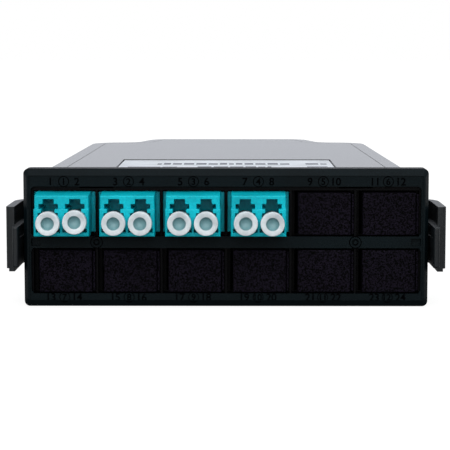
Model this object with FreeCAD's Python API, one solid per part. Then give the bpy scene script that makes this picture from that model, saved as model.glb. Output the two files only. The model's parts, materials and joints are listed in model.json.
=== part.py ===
import FreeCAD, Part
import math
import os

# Fibre cassette: a plug-in patching module of an optical distribution frame.
# A moulded front panel holds a grid of duplex LC positions, a tray and a lid
# hold the fan-out behind it, and one multi-fibre (MPO) port feeds it from the rear.
#
# Millimetres. X runs across the front panel, Y runs from the front to the rear
# and Z is up. The model is drawn with Y = 0 on the front panel's rim, and is
# moved along Y at the end, so that the origin is under the middle of the whole.

Vec = FreeCAD.Vector
TOUCH = 1e-6                 # two places closer than this are the same

# ---- Port grid -----------------------------------------------------------
COLUMNS = 6                  # duplex positions in one row
COLUMN_PITCH = 15.4
ROW_PITCH = 13.7
DIVIDER_T = 0.5              # between two windows of a row
WINDOW_SPARE = 0.9           # a window is this much taller than its adapter
BOTTOM_LAND = 3.2            # from the bezel's lower edge up to the lower windows
TOP_LAND = 5.2               # from the upper windows up to the bezel's upper edge
END_LAND = 2.0               # beyond the outermost column pitch at each end
LOADED_COLUMNS = 4           # positions of the upper row that carry adapters

# ---- Front bezel ---------------------------------------------------------
BEZEL_D = 6.0
BEZEL_CORNER_R = 1.3
BEVEL_SIDE = 0.9             # width of the bevel on the left and right edges
BEVEL_TOP = 1.6              # width of the bevel on the top and bottom edges
BEVEL_D = 1.4
STRIP_RECESS = 0.3           # the number strips lie this far behind the rim
STRIP_EDGE = 0.5             # flat of the rim around the strips
POCKET_SPARE = 0.4           # the pockets and the skirt are wider than the grid by this
POCKET_TOP_LAND = 1.0        # pocket above the upper windows
POCKET_D = 1.5
POCKET_CORNER_R = 1.0
SEAT_D = 1.5                 # depth of the narrowed seat at the back of a window
SEAT_LEDGE_X = 0.8
SEAT_LEDGE_Z = 0.2
SLIT_W = 8.1                 # pry slots above the pins
SLIT_H = 0.3
SLIT_RISE = 0.65
NOTCH_W = 2.4                # pockets at both ends of the centre bar
NOTCH_H = 1.8
NOTCH_D = 1.0
SKIRT_BOTTOM = 1.2
SKIRT_TOP_LAND = 3.4         # from the skirt's top up to the bezel's
SKIRT_END = 19.0
SKIRT_WALL = 1.2

# ---- Housing -------------------------------------------------------------
HOUSING_FRONT_W = 84.4
HOUSING_REAR_W = 80.4
RIM_RISE = 0.2               # the bezel stands this far above the housing
SHOULDER_Y = 112.0
SHOULDER_R = 8.0
BUMP_ROOT_W = 55.0           # width of the rear bump where it leaves the shoulders
BUMP_W = 46.0
BUMP_Y = 130.0
BUMP_R = 6.0
LEAST_R = 0.5                # smallest corner of an inset outline
WALL = 2.0
FLOOR = 2.0
FLANGE_W = 5.2               # width of the tray's top flange
FLANGE_H = 3.3
BAY_W = 92.8                 # wide bay behind the panel, for the outermost plugs
BAY_WALL = 1.8
BAY_SHOULDER_DROP = 6.3      # the bay's roof slopes in from this far below the lid
BAY_ROOF_DROP = 1.8
BAY_END = 40.0
BAY_TAPER = 14.0             # length over which the bay narrows into the housing
LID_INSET = 3.6
LID_T = 1.8
LID_GAP = 0.15
SEAT_GAP = 0.2               # between the bezel's skirt and the tray
SPOOL_R = 13.0               # slack drums on the floor of the tray
SPOOL_H = 9.0
SPOOL_WALL = 1.4
SPOOL_TAB = 4.0
SPOOLS = ((21.0, 76.0), (-15.4, 60.0))

# ---- Lid and label -------------------------------------------------------
LABEL_W = 52.6
LABEL_L = 29.0
LABEL_T = 0.2
LABEL_RECESS = 0.4
LABEL_MARGIN = 0.3
LABEL_FRONT = 7.0
BOSS_R = 2.0
SCREW_SEATS = ((-30.8, 31.0), (30.8, 31.0), (-32.5, 98.0), (32.5, 98.0))

# ---- Screws and pins -----------------------------------------------------
SCREW_R = 0.95
SCREW_L = 12.0
SCREW_HEAD_R = 2.0
SCREW_HEAD_H = 1.3
SCREW_SUNK = 0.3
CROSS_W = 0.6
CROSS_L = 2.4
CROSS_D = 0.7
STANDOFF_R = 3.2
STANDOFF_H = 5.0
HOLE_GAP = 0.15
PILOT_GAP = 0.05             # between a screw and its boss
PILOT_SPARE = 1.0            # the pilot hole runs on past the screw's tip
PIN_R = 0.6
PIN_HEAD_R = 1.25
PIN_HEAD_H = 0.5
PIN_DISH_R = 0.875           # sunk ring in the pin's head
PIN_STUD_R = 0.375
PIN_L = 24.0
PIN_COLUMNS = 4              # the two pins stand this many column pitches apart
POST_R = 2.2
POST_RISE = 2.0

# ---- Duplex adapter ------------------------------------------------------
ADAPTER_W = 12.7
ADAPTER_H = 10.0
ADAPTER_FRONT = 6.2          # the lower half stands out this far in front of the rim
ADAPTER_STEP_D = 1.0         # the upper half of the face lies this far behind the lower
ADAPTER_STEP_W = 0.13        # the lower half is this much wider on each side
ADAPTER_COLLAR_END = -0.5    # where the wide lower half stops in front of the rim
ADAPTER_DRAFT = 0.5          # fall of the roof toward the front
ADAPTER_L = 25.2
ADAPTER_RISE = 0.2           # sits this far above the middle of its window
ADAPTER_EDGE = 0.2
EAR_W = 14.6
EAR_T = 1.4
CLIP_H = 0.5                 # snap ridges behind the bezel
CLIP_L = 1.2
PORT_PITCH = 6.25
PORT_W = 4.7
PORT_H = 4.6
PORT_FLOOR = 0.95            # wall under a port
PORT_FOOT_W = 5.75           # wider foot of the port's mouth
PORT_FOOT_H = 0.95
PORT_FOOT_D = 2.5
PORT_DEPTH = 10.0
NECK_W = 3.2                 # narrow step above the port
NECK_H = 0.9
KEY_W = 4.55                 # wide step above the neck
KEY_H = 1.15
NOTCH_TOP_W = 2.6            # latch notch at the top
NOTCH_TOP_H = 1.15
BARREL_R = 1.55
BARREL_BORE_R = 0.85
BARREL_L = 14.0
SLEEVE_R = 0.8
SLEEVE_BORE_R = 0.66
SLEEVE_L = 11.0
SLEEVE_SLIT = 0.2

# ---- Dust cap of an LC port ----------------------------------------------
CAP_HEAD_R = 2.8
CAP_HEAD_T = 2.0
CAP_HEAD_EDGE = 0.35
CAP_GAP = 0.4                # from the adapter's face to the head
CAP_NECK_R = 2.25
CAP_NECK_L = 2.6
CAP_STEM_R = 2.15
CAP_STEM_L = 7.0
CAP_BORE_R = 1.75
CAP_DIMPLE_R = 1.5
CAP_DIMPLE_FLOOR_R = 0.7
CAP_DIMPLE_D = 0.9

# ---- Blank plug ----------------------------------------------------------
BLANK_W = 12.6
BLANK_H = 10.1
BLANK_SHIFT_X = 0.3          # the face sits off the middle of its window
BLANK_DROP = 0.1
BLANK_FRONT = 0.2            # face behind the rim
BLANK_D = 8.8
BLANK_WALL = 1.3
BLANK_FACE_T = 2.0
BLANK_EDGE = 0.35
BLANK_FLANGE_SETBACK = 0.5
BLANK_FLANGE_T = 1.9
BLANK_GROOVE = 0.2
BARB_H = 0.35
BARB_L = 1.4

# ---- Inner LC plug and fibre ---------------------------------------------
PLUG_W = 4.5
PLUG_L = 15.0
PLUG_START = 3.2             # from the adapter's middle to the plug's nose
PLUG_BORE_R = 1.75
PLUG_BORE_L = 6.0
FERRULE_R = 0.625
FERRULE_TIP = 0.05
LEVER_W = 2.2
LEVER_T = 0.8
LEVER_L = 9.0
BOOT_R = 1.9
BOOT_TIP_R = 1.1
BOOT_L = 13.0
FIBRE_R = 0.45
FIBRE_SIDES = 6              # flats that stand for the fibre's round section
FIBRE_LEAD = 2.0             # straight length at each end of a fibre
FIBRE_PITCH = 1.1            # spacing of the fibres at the fan-out block

# ---- Fan-out block, pigtail and MPO plug ---------------------------------
BLOCK_W = 12.0
BLOCK_L = 12.0
BLOCK_H = 4.4
BLOCK_EDGE = 1.1
BLOCK_Y = 78.0
DECK_MARGIN = 1.6
DECK_CLIP_T = 1.2
DECK_CLIP_H = 4.0
PIGTAIL_R = 1.5
MPO_PITCH = 13.8             # spacing of the three rear positions
MPO_PORT_PLACE = -1          # the position in use, counted from the middle one
MPO_BODY_W = 12.9
MPO_BODY_H = 9.6
MPO_BODY_L = 21.0
MPO_OUT = 9.0                # stands out this far behind the bump
MPO_FLANGE_W = 15.0
MPO_FLANGE_H = 12.0
MPO_FLANGE_T = 1.6
MPO_PORT_W = 9.9
MPO_PORT_H = 6.8
MPO_PORT_DEPTH = 9.0
MPO_KEY_W = 2.6
MPO_KEY_H = 0.9
MPO_WINDOW_GAP = 0.15
MPO_FIT = 0.15
MPO_SLEEVE_W = 12.2
MPO_SLEEVE_H = 8.0
MPO_SLEEVE_L = 11.0
MPO_BOOT_L = 11.0
MPO_BOOT_R = 3.4
MPO_BOOT_TIP_R = 2.2
MPO_CAP_HEAD_W = 11.8
MPO_CAP_HEAD_H = 8.8
MPO_CAP_HEAD_T = 4.0
MPO_CAP_EDGE = 1.6
MPO_CAP_STEM_L = 7.0
MPO_EDGE = 0.8
KNOCKOUT_D = 0.5             # outline of the two rear positions left closed
KNOCKOUT_LINE = 0.6

# ---- Side latches --------------------------------------------------------
LATCH_STAND = 4.1            # a latch's outer face stands this far out from the bezel
LATCH_T = 2.0
LATCH_BOTTOM = 8.5
LATCH_TOP = 24.0
LATCH_BEND_Y = 15.0
LATCH_BEND_R = 8.0
LATCH_CORNER = 0.7
PAD_T = 1.35
PAD_OUT = 4.3                # the thumb pad stands out this far in front of the rim
PAD_BOTTOM = 9.9
PAD_TOP = 19.6
PAD_EDGE = 0.5
FINGER_START = 7.2
FINGER_L = 4.0
FINGER_BOTTOM = 14.2
FINGER_TOP = 16.8
FINGER_REACH = 1.6
GUSSET_D = 0.3               # rise of the rib that leads to the finger
HOOK_START = 3.0             # retaining pocket in the outer face
HOOK_L = 5.0
HOOK_D = 0.6
HOOK_BOTTOM = 12.0
HOOK_TOP = 20.0
HEEL_H = 0.7                 # the plate's outer skin stops this far above its lower edge
HEEL_D = 0.6
LEG_TOP = 17.0               # the root leg is lower than the finger plate
ROOT_GAP = 0.2
ROOT_SLANT = 0.4             # room for the bend where it enters the slot
BARB_FOOT_L = 4.0
BARB_FOOT_T = 1.0

# ---- Places worked out from the sizes above ------------------------------
WINDOW_W = COLUMN_PITCH - DIVIDER_T
WINDOW_H = ADAPTER_H + WINDOW_SPARE
LOWER_ROW_Z = BOTTOM_LAND + WINDOW_H / 2
UPPER_ROW_Z = LOWER_ROW_Z + ROW_PITCH
BEZEL_W = COLUMNS * COLUMN_PITCH + 2 * END_LAND
BEZEL_H = UPPER_ROW_Z + WINDOW_H / 2 + TOP_LAND
POCKET_W = COLUMNS * COLUMN_PITCH + POCKET_SPARE
SKIRT_W = POCKET_W
LATCH_OUT = BEZEL_W / 2 + LATCH_STAND
HOUSING_H = BEZEL_H - RIM_RISE
SKIRT_TOP = BEZEL_H - SKIRT_TOP_LAND
BAY_SHOULDER_Z = HOUSING_H - BAY_SHOULDER_DROP
BAY_ROOF_Z = HOUSING_H - BAY_ROOF_DROP
BAR_Z = (LOWER_ROW_Z + UPPER_ROW_Z) / 2
ADAPTER_Z = UPPER_ROW_Z + ADAPTER_RISE
ADAPTER_MID = ADAPTER_L / 2 - ADAPTER_FRONT
PORT_Z = ADAPTER_Z - ADAPTER_H / 2 + PORT_FLOOR + PORT_H / 2
WINDOW_SEAT = BEZEL_D - SEAT_D
PIN_X = PIN_COLUMNS * COLUMN_PITCH / 2
MPO_X = MPO_PORT_PLACE * MPO_PITCH
MPO_FRONT = BUMP_Y + MPO_OUT - MPO_BODY_L
PLUG_Y = ADAPTER_MID + PLUG_START
BOOT_END = PLUG_Y + PLUG_L + BOOT_L
MPO_BOOT_END = MPO_FRONT - MPO_SLEEVE_L - MPO_BOOT_L
CAP_TIP = -ADAPTER_FRONT - CAP_GAP - CAP_HEAD_T
REAR_TIP = BUMP_Y + MPO_OUT + MPO_CAP_HEAD_T
ORIGIN_SHIFT = -(CAP_TIP + REAR_TIP) / 2


# ---- Helpers -------------------------------------------------------------
def box(x0, x1, y0, y1, z0, z1):
    """Box between two opposite corners."""
    return Part.makeBox(x1 - x0, y1 - y0, z1 - z0, Vec(x0, y0, z0))


def block(x, z, width, height, y0, y1):
    """Box centred on (x, z) that runs from y0 to y1."""
    return box(x - width / 2, x + width / 2, y0, y1, z - height / 2, z + height / 2)


def rod(x, z, radius, y0, y1):
    """Round bar along Y."""
    return Part.makeCylinder(radius, y1 - y0, Vec(x, y0, z), Vec(0, 1, 0))


def post(x, y, radius, z0, z1):
    """Round bar along Z."""
    return Part.makeCylinder(radius, z1 - z0, Vec(x, y, z0))


def taper(x, z, radius0, radius1, y0, y1):
    """Round bar along Y whose radius changes evenly."""
    return Part.makeCone(radius0, radius1, y1 - y0, Vec(x, y0, z), Vec(0, 1, 0))


def join(shapes):
    """Fuse a list of overlapping shapes and drop the seams between them."""
    result = shapes[0]
    for shape in shapes[1:]:
        result = result.fuse(shape)
    return result.removeSplitter()


def corner_points(previous, corner, following, radius):
    """Tangent points and middle of the arc that rounds one corner."""
    to_previous = (previous - corner).normalize()
    to_following = (following - corner).normalize()
    half = to_previous.getAngle(to_following) / 2
    reach = radius / math.tan(half)
    bisector = (to_previous + to_following).normalize()
    centre = corner + bisector * (radius / math.sin(half))
    middle = centre - bisector * radius
    return corner + to_previous * reach, middle, corner + to_following * reach


def rounded_wire(corners, radii):
    """Closed wire through the corners, each rounded by its own radius."""
    pieces = []
    count = len(corners)
    arcs = []
    for index in range(count):
        corner = corners[index]
        if radii[index] > 0:
            following = corners[(index + 1) % count]
            arcs.append(corner_points(corners[index - 1], corner, following, radii[index]))
        else:
            arcs.append((corner, None, corner))
    for index in range(count):
        start, middle, end = arcs[index]
        if middle is not None:
            pieces.append(Part.Arc(start, middle, end).toShape())
        pieces.append(Part.LineSegment(end, arcs[(index + 1) % count][0]).toShape())
    return Part.Wire(pieces)


def rounded_rectangle(x, z, width, height, radius, y):
    """Upright rectangle in the plane of the panel, with rounded corners."""
    corners = [
        Vec(x - width / 2, y, z - height / 2),
        Vec(x + width / 2, y, z - height / 2),
        Vec(x + width / 2, y, z + height / 2),
        Vec(x - width / 2, y, z + height / 2),
    ]
    return rounded_wire(corners, [radius] * 4)


def rounded_block(x, z, width, height, radius, y0, y1):
    """Block along Y with rounded long edges."""
    face = Part.Face(rounded_rectangle(x, z, width, height, radius, y0))
    return face.extrude(Vec(0, y1 - y0, 0))


def column_x(column):
    """Middle of a column, counted from the left."""
    return (column - (COLUMNS - 1) / 2) * COLUMN_PITCH


def mirrored(shape):
    """The shape's mirror image across the middle plane."""
    return shape.mirror(Vec(0, 0, 0), Vec(1, 0, 0))


# ---- Plan of the housing -------------------------------------------------
def line_crossing(point_a, along_a, point_b, along_b):
    """Point where two lines of the plan cross."""
    cross = along_a.x * along_b.y - along_a.y * along_b.x
    offset = point_b - point_a
    distance = (offset.x * along_b.y - offset.y * along_b.x) / cross
    return point_a + along_a * distance


def plan_prism(inset, front, z0, z1):
    """Prism on the housing's plan, its sides and rear moved in by an inset."""
    half = [
        (HOUSING_FRONT_W / 2, BEZEL_D, 0),
        (HOUSING_REAR_W / 2, SHOULDER_Y, max(SHOULDER_R - inset, LEAST_R)),
        (BUMP_ROOT_W / 2, SHOULDER_Y, BUMP_R + inset),
        (BUMP_W / 2, BUMP_Y, max(BUMP_R - inset, LEAST_R)),
    ]
    corners = [Vec(x, y, z0) for x, y, radius in half] + [Vec(-x, y, z0) for x, y, radius in reversed(half)]
    radii = [radius for x, y, radius in half] + [radius for x, y, radius in reversed(half)]
    count = len(corners)
    edges = []
    for index in range(count):
        start = corners[index]
        along = (corners[(index + 1) % count] - start).normalize()
        inward = Vec(-along.y, along.x, 0)
        if index == count - 1:
            edges.append((Vec(0, front, z0), along))
        else:
            edges.append((start + inward * inset, along))
    moved = []
    for index in range(count):
        before = edges[index - 1]
        after = edges[index]
        moved.append(line_crossing(before[0], before[1], after[0], after[1]))
    return Part.Face(rounded_wire(moved, radii)).extrude(Vec(0, 0, z1 - z0))


# ---- Front bezel ---------------------------------------------------------
def bezel_body():
    """Rim with its mitred bevel, the recessed strips and one pocket per row."""
    front = rounded_rectangle(
        0, BEZEL_H / 2, BEZEL_W - 2 * BEVEL_SIDE, BEZEL_H - 2 * BEVEL_TOP, BEZEL_CORNER_R / 2, 0)
    middle = rounded_rectangle(0, BEZEL_H / 2, BEZEL_W, BEZEL_H, BEZEL_CORNER_R, BEVEL_D)
    bevel = Part.makeLoft([front, middle], True, True)
    rim = rounded_block(0, BEZEL_H / 2, BEZEL_W, BEZEL_H, BEZEL_CORNER_R, BEVEL_D, BEZEL_D)
    skirt_h = SKIRT_TOP - SKIRT_BOTTOM
    skirt_z = (SKIRT_TOP + SKIRT_BOTTOM) / 2
    skirt = rounded_block(0, skirt_z, SKIRT_W, skirt_h, BEZEL_CORNER_R, BEZEL_D, SKIRT_END)
    hollow = block(0, skirt_z, SKIRT_W - 2 * SKIRT_WALL, skirt_h - 2 * SKIRT_WALL, BEZEL_D, SKIRT_END)
    body = join([bevel, rim, skirt.cut(hollow)])
    strip_w = BEZEL_W - 2 * BEVEL_SIDE - 2 * STRIP_EDGE
    strip_h = BEZEL_H - 2 * BEVEL_TOP
    strips = block(0, BEZEL_H / 2, strip_w, strip_h, 0, STRIP_RECESS)
    return body.cut(strips)


def window_cutters():
    """Pockets, windows and seats of both rows."""
    cutters = []
    seat_w = WINDOW_W - 2 * SEAT_LEDGE_X
    seat_h = WINDOW_H - 2 * SEAT_LEDGE_Z
    for row_z, land in ((LOWER_ROW_Z, 0.0), (UPPER_ROW_Z, POCKET_TOP_LAND)):
        height = WINDOW_H + land
        cutters.append(rounded_block(0, row_z + land / 2, POCKET_W, height, POCKET_CORNER_R, 0, POCKET_D))
        for column in range(COLUMNS):
            x = column_x(column)
            cutters.append(block(x, row_z, WINDOW_W, WINDOW_H, 0, WINDOW_SEAT))
            cutters.append(block(x, row_z, seat_w, seat_h, 0, BEZEL_D))
    return cutters


def front_bezel():
    """Moulded panel with twelve windows, pin seats, pry slots and bar notches."""
    bezel = bezel_body()
    for cutter in window_cutters():
        bezel = bezel.cut(cutter)
    slit_z = UPPER_ROW_Z + WINDOW_H / 2 + SLIT_RISE
    notch_x = POCKET_W / 2 - NOTCH_W / 2
    for side in (-1, 1):
        bezel = bezel.cut(block(side * PIN_X, slit_z, SLIT_W, SLIT_H, 0, BEZEL_D))
        bezel = bezel.cut(rod(side * PIN_X, BAR_Z, PIN_R + HOLE_GAP, 0, BEZEL_D))
        bezel = bezel.cut(rod(side * PIN_X, BAR_Z, PIN_HEAD_R + HOLE_GAP, 0, STRIP_RECESS + PIN_HEAD_H))
        bezel = bezel.cut(block(side * notch_x, BAR_Z, NOTCH_W, NOTCH_H, 0, STRIP_RECESS + NOTCH_D))
    return bezel


def bezel_pins():
    """Two drive pins that fix the bezel to the posts of the tray."""
    pins = []
    head_y = STRIP_RECESS
    for side in (-1, 1):
        head = rod(side * PIN_X, BAR_Z, PIN_HEAD_R, head_y, head_y + PIN_HEAD_H)
        dish = rod(side * PIN_X, BAR_Z, PIN_DISH_R, head_y, head_y + PIN_HEAD_H / 2)
        stud = rod(side * PIN_X, BAR_Z, PIN_STUD_R, head_y, head_y + PIN_HEAD_H)
        shank = rod(side * PIN_X, BAR_Z, PIN_R, head_y + PIN_HEAD_H / 2, head_y + PIN_L)
        pins.append(join([head.cut(dish), stud, shank]))
    return Part.makeCompound(pins)


# ---- Tray ----------------------------------------------------------------
def slack_spool(x, y):
    """Open drum with four tabs that keep slack fibre round it."""
    top = FLOOR + SPOOL_H
    drum = post(x, y, SPOOL_R, 0, top)
    parts = [drum]
    for turn in range(4):
        tab = box(-SPOOL_TAB / 2, SPOOL_TAB / 2, 0, SPOOL_R + SPOOL_TAB / 2, top - SPOOL_WALL, top)
        tab.rotate(Vec(0, 0, 0), Vec(0, 0, 1), 90 * turn)
        tab.translate(Vec(x, y, 0))
        parts.append(tab)
    return join(parts).cut(post(x, y, SPOOL_R - SPOOL_WALL, FLOOR, top))


def fan_out_deck():
    """Raised deck and two clips that carry the fan-out block."""
    x0 = MPO_X - BLOCK_W / 2 - DECK_MARGIN
    x1 = MPO_X + BLOCK_W / 2 + DECK_MARGIN
    top = PORT_Z - BLOCK_H / 2
    deck = box(x0, x1, BLOCK_Y, BLOCK_Y + BLOCK_L, 0, top)
    core = box(x0 + WALL, x1 - WALL, BLOCK_Y + WALL, BLOCK_Y + BLOCK_L - WALL, FLOOR, top - WALL)
    parts = [deck]
    for side in (-1, 1):
        inner = BLOCK_W / 2 + HOLE_GAP
        clip_end = BLOCK_Y + BLOCK_L - WALL
        clip = box(inner, inner + DECK_CLIP_T, BLOCK_Y + WALL, clip_end, top - WALL, top + DECK_CLIP_H)
        if side < 0:
            clip = mirrored(clip)
        clip.translate(Vec(MPO_X, 0, 0))
        parts.append(clip)
    return join(parts).cut(core)


def latch_slot():
    """Slot through the bay's right side wall that a latch's root passes through."""
    y0 = LATCH_BEND_Y + LATCH_BEND_R - LATCH_T - ROOT_SLANT - ROOT_GAP
    y1 = LATCH_BEND_Y + LATCH_BEND_R + ROOT_GAP
    wall_x = BAY_W / 2
    return box(wall_x - BAY_WALL, wall_x, y0, y1, LATCH_BOTTOM - ROOT_GAP, LEG_TOP + ROOT_GAP)


def front_bay(inset, z0):
    """Wide bay behind the panel, with sloping shoulders and tapered sides."""
    wide = BAY_W / 2 - inset
    narrow = HOUSING_FRONT_W / 2 - inset
    joined = HOUSING_REAR_W / 2 - inset
    layers = ((wide, z0), (wide, BAY_SHOULDER_Z - inset), (narrow, BAY_ROOF_Z - inset))
    wires = []
    for half, z in layers:
        wires.append(Part.makePolygon([
            Vec(-half, BEZEL_D, z),
            Vec(half, BEZEL_D, z),
            Vec(half, BAY_END, z),
            Vec(joined, BAY_END + BAY_TAPER, z),
            Vec(-joined, BAY_END + BAY_TAPER, z),
            Vec(-half, BAY_END, z),
            Vec(-half, BEZEL_D, z),
        ]))
    return Part.makeLoft(wires, True, True)


def base_tray():
    """Tray with its top flange, posts, spools, fan-out deck and rear port."""
    tray = join([plan_prism(0, BEZEL_D, 0, HOUSING_H), front_bay(0, 0)])
    tray = tray.cut(plan_prism(WALL, BEZEL_D, FLOOR, HOUSING_H - FLANGE_H))
    tray = tray.cut(front_bay(BAY_WALL, FLOOR))
    tray = tray.cut(plan_prism(FLANGE_W, BEZEL_D, HOUSING_H - FLANGE_H, HOUSING_H))
    tray = tray.cut(plan_prism(LID_INSET, BEZEL_D, HOUSING_H - LID_T, HOUSING_H))
    reach = SKIRT_W / 2 + SEAT_GAP
    end = SKIRT_END + SEAT_GAP
    tray = tray.cut(box(-reach, reach, BEZEL_D, end, SKIRT_BOTTOM - SEAT_GAP, SKIRT_TOP + SEAT_GAP))
    posts = [tray]
    for side in (-1, 1):
        post_y = SKIRT_END + SEAT_GAP + POST_R
        posts.append(post(side * PIN_X, post_y, POST_R, 0, BAR_Z + POST_RISE))
    for x, y in SCREW_SEATS:
        posts.append(post(x, y, STANDOFF_R, 0, STANDOFF_H))
    for x, y in SPOOLS:
        posts.append(slack_spool(x, y))
    posts.append(fan_out_deck())
    tray = join(posts)
    for x, y in SCREW_SEATS:
        tray = tray.cut(post(x, y, SCREW_R + HOLE_GAP, 0, STANDOFF_H))
        tray = tray.cut(post(x, y, SCREW_HEAD_R + HOLE_GAP, 0, SCREW_SUNK + SCREW_HEAD_H))
    pin_end = STRIP_RECESS + PIN_L + HOLE_GAP
    for side in (-1, 1):
        tray = tray.cut(rod(side * PIN_X, BAR_Z, PIN_R + HOLE_GAP / 2, SKIRT_END, pin_end))
    slot = latch_slot()
    tray = tray.cut(slot).cut(mirrored(slot))
    return rear_port(tray)


def rear_port(tray):
    """Opening for the MPO adapter and the outlines of the closed positions."""
    width = MPO_BODY_W + 2 * MPO_WINDOW_GAP
    height = MPO_BODY_H + 2 * MPO_WINDOW_GAP
    tray = tray.cut(block(MPO_X, PORT_Z, width, height, BUMP_Y - 2 * WALL, BUMP_Y))
    for place in (-1, 0, 1):
        if place == MPO_PORT_PLACE:
            continue
        x = place * MPO_PITCH
        depth = BUMP_Y - KNOCKOUT_D
        outline = block(x, PORT_Z, width, height, depth, BUMP_Y)
        island = block(x, PORT_Z, width - 2 * KNOCKOUT_LINE, height - 2 * KNOCKOUT_LINE, depth, BUMP_Y)
        tray = tray.cut(outline.cut(island))
    return tray


# ---- Lid, label and screws -----------------------------------------------
def top_cover():
    """Flush lid with a label recess and four screw bosses."""
    under = HOUSING_H - LID_T
    plate = plan_prism(LID_INSET + LID_GAP, BEZEL_D + LID_GAP, under, HOUSING_H)
    parts = [plate]
    for x, y in SCREW_SEATS:
        parts.append(post(x, y, BOSS_R, STANDOFF_H + LID_GAP, HOUSING_H - LID_T / 2))
    lid = join(parts)
    for x, y in SCREW_SEATS:
        pilot_end = SCREW_SUNK + SCREW_HEAD_H + SCREW_L + PILOT_SPARE
        lid = lid.cut(post(x, y, SCREW_R + PILOT_GAP, STANDOFF_H, pilot_end))
    half_w = LABEL_W / 2 + LABEL_MARGIN
    start = LABEL_FRONT - LABEL_MARGIN
    end = LABEL_FRONT + LABEL_L + LABEL_MARGIN
    return lid.cut(box(-half_w, half_w, start, end, HOUSING_H - LABEL_RECESS, HOUSING_H))


def label():
    """Thin plate that lies in the lid's recess."""
    seat = HOUSING_H - LABEL_RECESS
    return box(-LABEL_W / 2, LABEL_W / 2, LABEL_FRONT, LABEL_FRONT + LABEL_L, seat, seat + LABEL_T)


def cover_screws():
    """Four screws that come up through the floor into the lid's bosses."""
    screws = []
    head_top = SCREW_SUNK + SCREW_HEAD_H
    cross_top = SCREW_SUNK + CROSS_D
    for x, y in SCREW_SEATS:
        head = post(x, y, SCREW_HEAD_R, SCREW_SUNK, head_top)
        shank = post(x, y, SCREW_R, head_top - SCREW_HEAD_H / 2, head_top + SCREW_L)
        screw = join([head, shank])
        for half_x, half_y in ((CROSS_L / 2, CROSS_W / 2), (CROSS_W / 2, CROSS_L / 2)):
            screw = screw.cut(box(x - half_x, x + half_x, y - half_y, y + half_y, SCREW_SUNK, cross_top))
        screws.append(screw)
    return Part.makeCompound(screws)


# ---- Duplex adapter and its sleeves --------------------------------------
def port_xs(column):
    """Middles of the two ports of one column."""
    x = column_x(column)
    return (x - PORT_PITCH / 2, x + PORT_PITCH / 2)


def port_cavity(x, y0, y1):
    """Stepped opening of one LC port, with the latch notch above it."""
    bottom = PORT_Z - PORT_H / 2
    top = PORT_Z + PORT_H / 2
    steps = (
        (PORT_W, bottom, top),
        (NECK_W, top, top + NECK_H),
        (KEY_W, top + NECK_H, top + NECK_H + KEY_H),
        (NOTCH_TOP_W, top + NECK_H + KEY_H, top + NECK_H + KEY_H + NOTCH_TOP_H),
    )
    return join([box(x - width / 2, x + width / 2, y0, y1, z0, z1) for width, z0, z1 in steps])


def front_chamfer(body, front):
    """Break the edges of a body's front face."""
    rims = [edge for edge in body.Edges if all(abs(point.Y - front) < TOUCH for point in edge.Vertexes)]
    return body.makeChamfer(ADAPTER_EDGE, rims)


def adapter_shell(x, front, rear):
    """Coupler body drawn from the side: its roof falls from the rim toward the set-back upper face."""
    left = x - ADAPTER_W / 2
    bottom = ADAPTER_Z - ADAPTER_H / 2
    top = ADAPTER_Z + ADAPTER_H / 2
    face = front + ADAPTER_STEP_D
    side = Part.Face(Part.makePolygon([
        Vec(left, face, bottom),
        Vec(left, rear, bottom),
        Vec(left, rear, top),
        Vec(left, 0, top),
        Vec(left, face, top - ADAPTER_DRAFT),
        Vec(left, face, bottom),
    ]))
    return front_chamfer(side.extrude(Vec(ADAPTER_W, 0, 0)), face)


def adapter_collar(x, front):
    """Proud, slightly wider lower half of the coupler's face."""
    width = ADAPTER_W + 2 * ADAPTER_STEP_W
    bottom = ADAPTER_Z - ADAPTER_H / 2
    top = PORT_Z + PORT_H / 2 + NECK_H
    collar = box(x - width / 2, x + width / 2, front, ADAPTER_COLLAR_END, bottom, top)
    return front_chamfer(collar, front)


def lc_adapter(column):
    """Duplex coupler: two stepped ports each way, barrels, ears and snap ridges."""
    x = column_x(column)
    front = -ADAPTER_FRONT
    rear = front + ADAPTER_L
    clip_y = BEZEL_D + HOLE_GAP
    ears = block(x, ADAPTER_Z, EAR_W, ADAPTER_H - 2 * ADAPTER_EDGE, WINDOW_SEAT - EAR_T, WINDOW_SEAT)
    clip = block(x, ADAPTER_Z, ADAPTER_W / 2, ADAPTER_H + 2 * CLIP_H, clip_y, clip_y + CLIP_L)
    body = join([adapter_shell(x, front, rear), adapter_collar(x, front), ears, clip])
    for port_x in port_xs(column):
        for y0, y1 in ((front, front + PORT_DEPTH), (rear - PORT_DEPTH, rear)):
            body = body.cut(port_cavity(port_x, y0, y1))
        foot_z = PORT_Z - (PORT_H - PORT_FOOT_H) / 2
        body = body.cut(block(port_x, foot_z, PORT_FOOT_W, PORT_FOOT_H, front, front + PORT_FOOT_D))
        barrel = rod(port_x, PORT_Z, BARREL_R, ADAPTER_MID - BARREL_L / 2, ADAPTER_MID + BARREL_L / 2)
        body = body.fuse(barrel)
        body = body.cut(rod(port_x, PORT_Z, BARREL_BORE_R, front, rear))
    return body.removeSplitter()


def alignment_sleeves(column):
    """Two split sleeves inside the adapter's barrels."""
    sleeves = []
    y0 = ADAPTER_MID - SLEEVE_L / 2
    y1 = ADAPTER_MID + SLEEVE_L / 2
    for x in port_xs(column):
        tube = rod(x, PORT_Z, SLEEVE_R, y0, y1).cut(rod(x, PORT_Z, SLEEVE_BORE_R, y0, y1))
        slit = box(x - SLEEVE_SLIT / 2, x + SLEEVE_SLIT / 2, y0, y1, PORT_Z, PORT_Z + SLEEVE_R)
        sleeves.append(tube.cut(slit))
    return Part.makeCompound(sleeves)


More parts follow.
